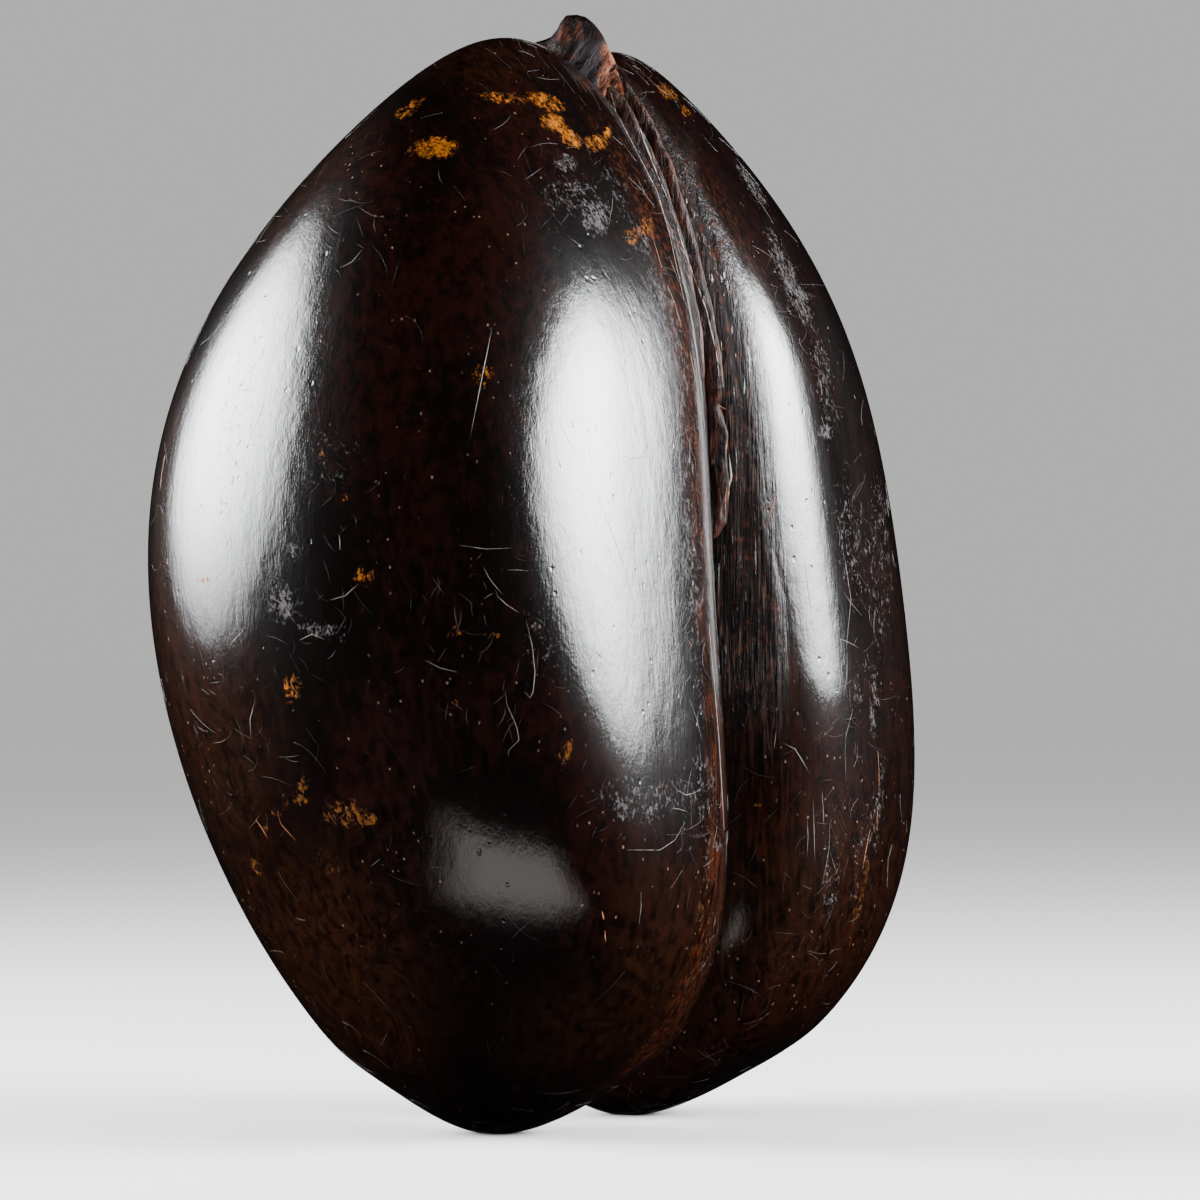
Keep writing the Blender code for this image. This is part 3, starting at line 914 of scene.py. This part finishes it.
def add_world():
    """A plain room: pale all round, but dark in the polish."""
    world = bpy.data.worlds.new("studio")
    bpy.context.scene.world = world
    world.use_nodes = True
    tree = world.node_tree
    seen = tree.nodes["Background"]
    set_inputs(tree, seen, {"Color": ROOM_SEEN})
    shader = Value(tree, seen.outputs["Background"])
    for kind, colour in (("Is Diffuse Ray", ROOM_LIGHT), ("Is Glossy Ray", ROOM_REFLECTED)):
        share = make(tree, "ShaderNodeLightPath", {}, kind)
        other = make(tree, "ShaderNodeBackground", {"Color": colour}, "Background")
        shader = make(tree, "ShaderNodeMixShader", {0: share, 1: shader, 2: other}, "Shader")
    set_inputs(tree, tree.nodes["World Output"], {"Surface": shader})


def photo_places(points):
    """Where points in space are in the 1200 by 1200 photograph."""
    place, forward, right = camera_frame()
    offset = points - np.array(place)
    depth = offset @ np.array(forward)
    across = offset @ np.array(right)
    px = PHOTO_SIZE / 2.0 + FOCAL_PIXELS * across / depth
    py = PHOTO_SIZE / 2.0 - FOCAL_PIXELS * offset[:, 2] / depth
    return px, py


def turned(x, y, degrees):
    """A place in the photograph, turned about the middle that it is measured from."""
    c = math.cos(math.radians(degrees))
    s = math.sin(math.radians(degrees))
    return c * x - s * y, s * x + c * y


def patch_amount(px, py, patches, softness):
    """How far each point is inside any of the patches, from 0 to 1."""
    inside = np.zeros_like(px)
    for middle_x, middle_y, half_x, half_y, turn, fullness in patches:
        along, across = turned(px - middle_x, py - middle_y, -turn)
        distance = np.sqrt((along / half_x) ** 2 + (across / half_y) ** 2)
        patch = 1.0 - smooth_step(1.0 - softness, 1.0 + softness, distance)
        inside = np.maximum(inside, fullness * patch)
    return inside


def far_flank(px, py):
    """1 between the suture and the highlight of the farther lobe, in the photograph."""
    edge = np.interp(py, *FAR_HIGHLIGHT)
    inside = 1.0 - smooth_step(*FAR_HIGHLIGHT_FADE, px - edge)
    return inside * between(FAR_FLANK_DOWN, py)


def scattered_amount(points, seed, count, smallest, largest, fullness):
    """Uneven spots spread at random over the shell, from 0 to the fullness."""
    random = np.random.default_rng(seed)
    spotted = np.zeros(len(points))
    for index in random.integers(0, len(points), count):
        radius = random.uniform(smallest, largest)
        stretch = random.uniform(*SPOT_STRETCH, 3)
        share = random.uniform(*SPOT_SHARE)
        distance = np.linalg.norm((points - points[index]) * stretch, axis=1)
        spot = 1.0 - smooth_step(0.1 * radius, 1.3 * radius, distance)
        spotted = np.maximum(spotted, fullness * share * spot)
    return spotted


def add_amount(mesh, name, values):
    """Keep one value a point with the mesh, for the material."""
    kept = mesh.attributes.new(name, "FLOAT", "POINT")
    kept.data.foreach_set("value", np.clip(values, 0.0, 1.0).astype(np.float32))


def add_shell_amounts(mesh):
    """Where the shell is a bare flank, rusty, worn, marked, or warm with painted reflection."""
    points = vertex_values(mesh, "co")
    to_camera = np.array(camera_frame()[0]) - points
    to_camera /= np.linalg.norm(to_camera, axis=1, keepdims=True)
    seen = smooth_step(*SEEN, (vertex_values(mesh, "normal") * to_camera).sum(axis=1))
    px, py = photo_places(points)
    x, y, z = points.T
    front = smooth_step(*FRONT_Y, -y)
    upper = smooth_step(*UPPER_Z, z)
    on_far = smooth_step(*FAR_SIDE_X, x)
    near = front * (1.0 - on_far)
    limb = NEAR_LIMB_X + NEAR_LIMB_WIDENING * smooth_step(*NEAR_LIMB_WIDENING_Z, z)
    beside = -x - limb + NEAR_LIMB_TOP * smooth_step(*NEAR_LIMB_TOP_Z, z)
    distance = np.abs(x) / np.where(x < 0.0, FLANK_NEAR_SHARE, 1.0)
    before = smooth_step(*FLANK_Y, -y)
    rim = (1.0 - smooth_step(*RIM_BESIDE, beside)) * (1.0 - on_far) * upper
    flank = (1.0 - smooth_step(*FLANK_X, distance)) * before * upper
    flank = np.maximum(flank, RIM_BARE * rim * before)
    flank = np.maximum(flank, on_far * far_flank(px, py) * seen * front)
    add_amount(mesh, "flank", flank)
    far_red = between(FAR_RED_X, x) * front * (FAR_RED_LOW + (1.0 - FAR_RED_LOW) * upper)
    add_amount(mesh, "rust", between(RUST_BESIDE, beside) * near + FAR_RED * far_red * on_far)
    add_amount(mesh, "wear", between(WEAR_BESIDE, beside) * near * smooth_step(*WEAR_Z, z))
    for name, patches, softness, spots in MARKS:
        placed = patch_amount(px, py, patches, softness) * seen
        add_amount(mesh, name, placed + (1.0 - seen) * scattered_amount(points, *spots))


def amount(tree, name):
    return make(tree, "ShaderNodeAttribute", {}, "Fac", attribute_name=name)


def object_place(tree):
    return make(tree, "ShaderNodeTexCoord", {}, "Object")


def noise_at(tree, vector, scale, detail, roughness):
    values = {"Vector": vector, "Scale": scale, "Detail": detail, "Roughness": roughness}
    return make(tree, "ShaderNodeTexNoise", values, "Fac")


def grain(tree, along, scale, detail, roughness):
    """Noise on the nut. along is the share of the scale up the nut."""
    place = vector_math(tree, "MULTIPLY", object_place(tree), (1.0, 1.0, along))
    return noise_at(tree, place, scale, detail, roughness)


def mixed(tree, share, a, b):
    return make(tree, "ShaderNodeMix", {0: share, 6: a, 7: b}, 2, data_type="RGBA")


def layered(tree, colour, marks):
    """Lay marks over a colour. Each mark is an amount, a strength and its colour."""
    for kept, strength, mark in marks:
        colour = mixed(tree, kept * strength, colour, mark)
    return colour


def bumped(tree, height):
    """The surface's normal with a relief of the given height."""
    return make(tree, "ShaderNodeBump", {"Height": height, "Distance": 1.0}, "Normal")


def ragged(kept, noise_value, contrast, softness):
    """A kept amount, broken up by noise so that its edge and inside are uneven."""
    uneven = kept + (noise_value - 0.5) * contrast
    return uneven.span(RAGGED_FROM, RAGGED_FROM + softness) * kept.span(*RAGGED_FADE)


def specks(tree, scale, size, share):
    """Small round specks of uneven strength in some cells of a pattern."""
    wobble = grain(tree, 1.0, 2.0 * scale, 2.0, 0.6)
    place = vector_math(tree, "MULTIPLY", object_place(tree), (1.0, 1.0, 0.7))
    cells = {"Vector": place, "Scale": scale}
    distance = make(tree, "ShaderNodeTexVoronoi", cells, "Distance") * wobble
    cell_colour = make(tree, "ShaderNodeTexVoronoi", cells, "Color")
    chosen = make(tree, "ShaderNodeSeparateColor", {0: cell_colour}, 0)
    return distance.span(0.6 * size, 0.2 * size) * chosen.span(share, 0.2 * share)


def shell_colour(tree, flank):
    """Near black ground with red mottling, warm zones of painted reflection, ochre with painted
    shade low down, and the marks of wear.

    The second value is how dull the marks are.
    """
    kinds = (BROAD, FINE, FIBRES, PATCH, BLOTCH, FLAKE)
    broad, fine, fibres, patch, blotch, flake = [grain(tree, *values) for values in kinds]
    rubbed = flake * 0.5 + patch * 0.5
    scuff = ragged(amount(tree, "scuff"), rubbed, 3.6, 0.22)
    worn = amount(tree, "wear") * blotch.span(0.3, 0.6) * WEAR_FULLNESS
    wear = ragged(worn, rubbed, 3.6, 0.25)
    ochre = ragged(amount(tree, "ochre"), rubbed, 3.4, 0.3)
    dots = specks(tree, *SMALL_SPECKS).most(specks(tree, *LARGE_SPECKS)) * broad.span(0.38, 0.62)
    # Ochre patches darker low down: painted shade where less light falls.
    height = part_of(tree, object_place(tree), "Z")
    ochre_with_painted_shade = mixed(tree, height.span(*OCHRE_PAINTED_SHADE_Z), OCHRE_PAINTED_SHADE, OCHRE)
    colour = layered(tree, GROUND, (
        ((broad * fine).span(0.22, 0.36), 0.85, RED_BROWN),
        # Painted reflection of warm surroundings, along the limbs and low down.
        (amount(tree, "painted_warm_reflection") * fine.span(0.34, 0.62), 0.8, REFLECTION_BROWN),
        (amount(tree, "rust") * fibres.span(0.45, 0.68), 0.8, RUST),
        (flank, 0.8, FLANK_BLACK),
        (flank * fibres.span(0.52, 0.62) * blotch.span(0.42, 0.6), 0.7, STRAND_GREY),
        (flank * patch.span(0.53, 0.63), 0.7, RUST),
        (scuff, 0.75, SCUFF_GREY),
        (wear, 0.75, SCUFF_GREY),
        (ochre, 0.95, mixed(tree, fine.span(0.38, 0.6), OCHRE_DARK, ochre_with_painted_shade)),
        (dots, 0.7, SPECK_TAN),
    ))
    return colour, scuff.most(wear).most(dots).most(ochre * OCHRE_DULL)


def shell_relief(tree, flank):
    """Height of the leathery skin, its fine lengthwise lines and its pits."""
    height = specks(tree, *PITS) * -PIT_DEPTH
    for kind, depth in SKIN_RELIEF:
        height = height + grain(tree, *kind) * depth
    for kind, depth in FLANK_RELIEF:
        height = height + grain(tree, *kind) * flank * depth
    return height


def shell_material():
    """Polished, almost black shell with a clear polish over a duller ground.

    On the flanks the polish is left in thin streaks only.
    """
    material, tree, shader = start_material("polished_shell")
    flank = amount(tree, "flank")
    colour, marks = shell_colour(tree, flank)
    dull = marks.most(flank * FLANK_DULL)
    normal = bumped(tree, shell_relief(tree, flank))
    rough = grain(tree, *HAZE) * HAZE_ROUGHNESS + SHELL_ROUGHNESS
    bare = flank * grain(tree, *POLISH_STREAKS).span(0.69, 0.59) * FLANK_BARE
    set_inputs(tree, shader, {
        "Base Color": colour,
        "Roughness": rough + dull * MARKS_ROUGHNESS + flank * FLANK_ROUGHNESS,
        "Specular IOR Level": SHELL_GLOSS - flank.most(dull) * MATT_LOSS,
        "Normal": normal,
        "Coat Weight": (COAT - dull * MARKS_BARE) * (1.0 - bare),
        "Coat Roughness": COAT_ROUGHNESS,
        "Coat IOR": COAT_IOR,
        "Coat Normal": normal,
    })
    return material


def suture_material():
    """Dark, fibrous rim of the suture with rusty streaks, and pale pink streaks that are partly
    painted highlight on the folds.
    """
    material, tree, shader = start_material("suture_fibre")
    place = vector_math(tree, "MULTIPLY", object_place(tree), SUTURE_STREAK_PULL)
    streaks = noise_at(tree, place, *SUTURE_STREAKS)
    blotch = grain(tree, *SUTURE_BLOTCH)
    colour = layered(tree, SUTURE_DARK, (
        (streaks.span(0.4, 0.6) * blotch.span(0.6, 0.42), 0.8, SUTURE_RUST),
        # Pale streaks: fibre colour, partly painted highlight on the folds.
        (streaks.span(0.5, 0.64) * blotch.span(0.46, 0.6), 0.85, SUTURE_PALE),
    ))
    set_inputs(tree, shader, {
        "Base Color": colour,
        "Roughness": blotch * 0.30 + 0.24,
        "Specular IOR Level": SUTURE_GLOSS,
        "Normal": bumped(tree, streaks * SUTURE_RELIEF),
    })
    return material


def knob_streaks(tree, scale):
    """Streaks that run down the knob towards the suture."""
    values = {"Vector": object_place(tree), "Angle": KNOB_STREAK_TURN}
    turned = make(tree, "ShaderNodeVectorRotate", values, "Vector", rotation_type="X_AXIS")
    place = vector_math(tree, "MULTIPLY", turned, KNOB_STREAK_PULL)
    return noise_at(tree, place, scale, 5.0, 0.7)


def knob_material():
    """Creased knob: bluish grey flank, a salmon streak towards the suture, rusty crest."""
    material, tree, shader = start_material("knob_fibre")
    streaks = knob_streaks(tree, KNOB_STREAK_SCALE)
    fine = knob_streaks(tree, KNOB_FINE_SCALE)
    blotch = grain(tree, *KNOB_BLOTCH)
    along = part_of(tree, object_place(tree), "Y") + (streaks - 0.5) * KNOB_ZONE_SWING
    low = part_of(tree, object_place(tree), "Z").span(*KNOB_LOW_Z)
    colour = layered(tree, KNOB_DARK, (
        (blotch.span(0.5, 0.62), 0.6, SUTURE_RUST),
        (along.band(KNOB_GREY_Y) * low, 0.8, KNOB_GREY),
        (along.band(KNOB_SALMON_Y) * low, 0.9, KNOB_SALMON),
        (along.span(*KNOB_RUSTY_Y), 0.6, SUTURE_RUST),
        (low * fine.span(0.58, 0.66), 0.5, SUTURE_PALE),
        (streaks.span(0.5, 0.4), 0.85, KNOB_DARK),
    ))
    set_inputs(tree, shader, {
        "Base Color": colour,
        "Roughness": blotch * 0.26 + 0.10,
        "Specular IOR Level": KNOB_GLOSS,
        "Normal": bumped(tree, streaks * KNOB_RELIEF + fine * KNOB_FINE_RELIEF),
    })
    return material


def thread_material(name, colour):
    """Dry, pale scratch or splinter that dulls the polish, or a pale line of painted highlight."""
    material, tree, shader = start_material(name)
    flecks = grain(tree, *THREAD_FLECKS)
    dark = [THREAD_DARK * value for value in colour]
    set_inputs(tree, shader, {
        "Base Color": mixed(tree, flecks.span(0.35, 0.6), dark, colour),
        "Roughness": flecks * 0.25 + 0.40,
    })
    return material


def camera_ray(px, py):
    """The camera's place and the direction through a place in the photograph."""
    place, forward, right = camera_frame()
    across = (px - PHOTO_SIZE / 2.0) / FOCAL_PIXELS
    up = (PHOTO_SIZE / 2.0 - py) / FOCAL_PIXELS
    return place, (forward + right * across + Vector((0.0, 0.0, up))).normalized()


def drawn_paths(surface, lines):
    """Paths on the nut along lines that are given by their places in the photograph."""
    paths = []
    for line in lines:
        table = np.array(line, float)
        last = len(table) - 1
        path = []
        for k in np.linspace(0.0, last, LINE_STEPS * last + 1):
            px = np.interp(k, range(len(table)), table[:, 0])
            py = np.interp(k, range(len(table)), table[:, 1])
            place, normal, _, _ = surface.ray_cast(*camera_ray(px, py))
            if place is not None:
                path.append((place, normal))
        if len(path) > 2:
            paths.append(path)
    return paths


def zone_lines():
    """Short lines at random places of the scratch zones, in the photograph."""
    random = np.random.default_rng(ZONE_SEED)
    lines = []
    for middle_x, middle_y, half_x, half_y, turn, count in SCRATCH_ZONES:
        for _ in range(count):
            radius = math.sqrt(random.uniform())
            angle = random.uniform(0.0, 2.0 * math.pi)
            along = half_x * radius * math.cos(angle)
            dx, dy = turned(along, half_y * radius * math.sin(angle), turn)
            px = middle_x + dx
            py = middle_y + dy
            heading = math.radians(90.0 + turn) + random.normal() * ZONE_HEADING_SPREAD
            length = random.uniform(*ZONE_STEP)
            bend = random.normal() * ZONE_BEND
            line = []
            for _ in range(ZONE_CORNERS):
                line.append((px, py))
                px += length * math.cos(heading)
                py += length * math.sin(heading)
                heading += bend
            lines.append(line)
    return lines


def scattered_paths(surface, mesh):
    """Short random paths all over the shell."""
    random = np.random.default_rng(SCATTERED_SEED)
    paths = []
    for index in random.integers(0, len(mesh.vertices), SCATTERED_COUNT):
        place = mesh.vertices[int(index)].co.copy()
        heading = Vector(random.normal(size=3))
        heading += Vector((0.0, 0.0, random.normal() * SCATTERED_UPRIGHT))
        step = random.uniform(*SCATTERED_STEP)
        bend = Vector(random.normal(size=3)) * SCATTERED_BEND
        path = []
        for _ in range(SCATTERED_CORNERS):
            place, normal, _, _ = surface.find_nearest(place)
            path.append((place, normal))
            heading = (heading + bend).cross(normal).cross(normal) * -1.0
            heading.normalize()
            place = place + heading * step
        paths.append(path)
    return paths


def build_threads(name, paths, seed, narrow, wide):
    """Slim three-sided threads, half sunk in the surface, that end in points."""
    random = np.random.default_rng(seed)
    verts = []
    faces = []
    for path in paths:
        width = random.uniform(narrow, wide)
        first = len(verts)
        last = len(path) - 1
        for k, (place, normal) in enumerate(path):
            before = path[max(k - 1, 0)][0]
            after = path[min(k + 1, last)][0]
            side = (after - before).cross(normal).normalized()
            half = 0.5 * width * (THREAD_END + math.sin(math.pi * k / last))
            verts.append(place + side * half - normal * THREAD_SINK)
            verts.append(place + normal * THREAD_HEIGHT)
            verts.append(place - side * half - normal * THREAD_SINK)
        faces += ring_faces(first, len(path), 3)
    return closed_piece(name, [tuple(vert) for vert in verts], faces)


def surface_of(pieces):
    """One search tree over all the given pieces."""
    verts = []
    faces = []
    for piece in pieces:
        first = len(verts)
        verts += [vert.co.copy() for vert in piece.data.vertices]
        faces += [[first + k for k in face.vertices] for face in piece.data.polygons]
    return BVHTree.FromPolygons(verts, faces)


def build_marks(shell, suture):
    """Scratches, splinters and pale lines of painted highlight: those the photograph shows, and
    others all round.
    """
    surface = surface_of([shell] + suture)
    paths = {
        "scratches_and_highlight_streaks": drawn_paths(surface, PALE_SCRATCHES_AND_HIGHLIGHT_STREAKS),
        "hair_scratches": scattered_paths(surface, shell.data) + drawn_paths(surface, zone_lines()),
        "splinters": drawn_paths(surface, TAN_LINES),
        "painted_edge_highlights": drawn_paths(surface, EDGE_HIGHLIGHT_LINES),
    }
    pieces = []
    for name, seed, narrow, wide, colour in THREADS:
        piece = build_threads(name, paths[name], seed, narrow, wide)
        piece.data.materials.append(thread_material(name, colour))
        pieces.append(piece)
    return pieces


def build_suture():
    """Both lips of the suture and the knob at its upper end, with their materials."""
    lips = [build_lip(*values) for values in LIPS]
    knob = build_knob()
    fibre = suture_material()
    for lip in lips:
        lip.data.materials.append(fibre)
    knob.data.materials.append(knob_material())
    return lips + [knob]


def main():
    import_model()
    add_camera()
    add_lights()
    add_stage()
    add_world()
    shell = build_shell()
    add_shell_amounts(shell.data)
    shell.data.materials.append(shell_material())
    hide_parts("nut")
    suture = build_suture()
    for piece in [shell] + suture + build_marks(shell, suture):
        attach(piece, "root")


main()
